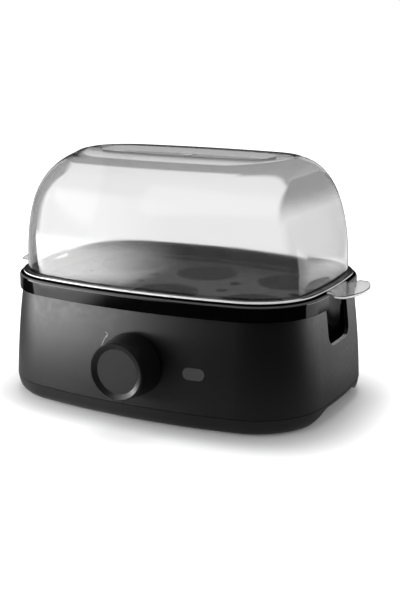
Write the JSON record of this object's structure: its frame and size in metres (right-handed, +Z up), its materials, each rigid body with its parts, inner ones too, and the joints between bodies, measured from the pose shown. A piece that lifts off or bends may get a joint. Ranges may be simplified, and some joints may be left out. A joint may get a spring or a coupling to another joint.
{
  "type": "egg cooker",
  "caption": "Low heated base with a front dial, a lift-out tray with egg seats over a water dish, and a clear domed lid with a lifting tab at each end.",
  "frame": {"origin": "on the table, under the middle of the housing (middle of the four feet)", "axes": "+X to the right seen from the dial side, +Y to the rear, +Z up"},
  "size_m": [0.226, 0.1647, 0.1438],
  "materials": {
    "satin_black": "satin moulded",
    "gloss_black": "polished moulded",
    "smoke_clear": "clear smoky",
    "tray_grey": "fine matte",
    "dial_black": "satin moulded",
    "lens_grey": "smoked translucent",
    "rubber_black": "matte rubber",
    "silicone_grey": "silicone",
    "coated_dish": "dark non-stick coat",
    "bright_steel": "zinc plated",
    "heater_sheath": "drawn tube",
    "phenolic": "moulded",
    "fuse_metal": "plated can",
    "steatite": "unglazed",
    "board_green": "solder mask",
    "component_black": "moulded",
    "lamp_clear": "clear epoxy",
    "block_white": "nylon",
    "lead_blue": "insulation",
    "lead_brown": "insulation",
    "lead_white": "glass-fibre sleeve",
    "lead_green": "insulation"
  },
  "bodies": {
    "base": {"base_pan": "satin_black", "base_screws": "bright_steel", "board_screws": "bright_steel", "buzzer": "component_black", "control_board": "board_green", "cord_grommet": "rubber_black", "dish_clamps": "bright_steel", "dish_gasket": "silicone_grey", "dish_screws": "bright_steel", "earth_lead": "lead_green", "fuse_cradle": "steatite", "fuse_lead": "lead_white", "heater_lead": "lead_white", "heater_pins": "bright_steel", "heating_element": "heater_sheath", "indicator_lamp": "lamp_clear", "indicator_lens": "lens_grey", "live_lead": "lead_brown", "neutral_lead": "lead_blue", "outer_shell": "satin_black", "relay": "component_black", "rotary_control": "component_black", "rubber_feet": "rubber_black", "strap_nuts": "bright_steel", "terminal_block": "block_white", "thermal_fuse": "fuse_metal", "thermostat": "phenolic", "thermostat_strap": "bright_steel", "upper_frame": "gloss_black", "water_dish": "coated_dish"},
    "dial": {"dial_shaft": "bright_steel", "knob": "dial_black", "knob_cap": "dial_black"},
    "tray": {"egg_tray": "tray_grey"},
    "lid": {"lid": "smoke_clear"}
  },
  "joints": [
    {"name": "dial_turn", "type": "hinge", "parent": "base", "child": "dial", "pos_m": [0.0038, -0.0727, 0.0346], "axis": [0, 1, 0], "range_deg": [0, 270]},
    {"name": "tray_lift", "type": "slide", "parent": "base", "child": "tray", "axis": [0, 0, 1], "range_m": [0, 0.1]},
    {"name": "lid_lift", "type": "slide", "parent": "tray", "child": "lid", "axis": [0, 0, 1], "range_m": [0, 0.15]}
  ]
}
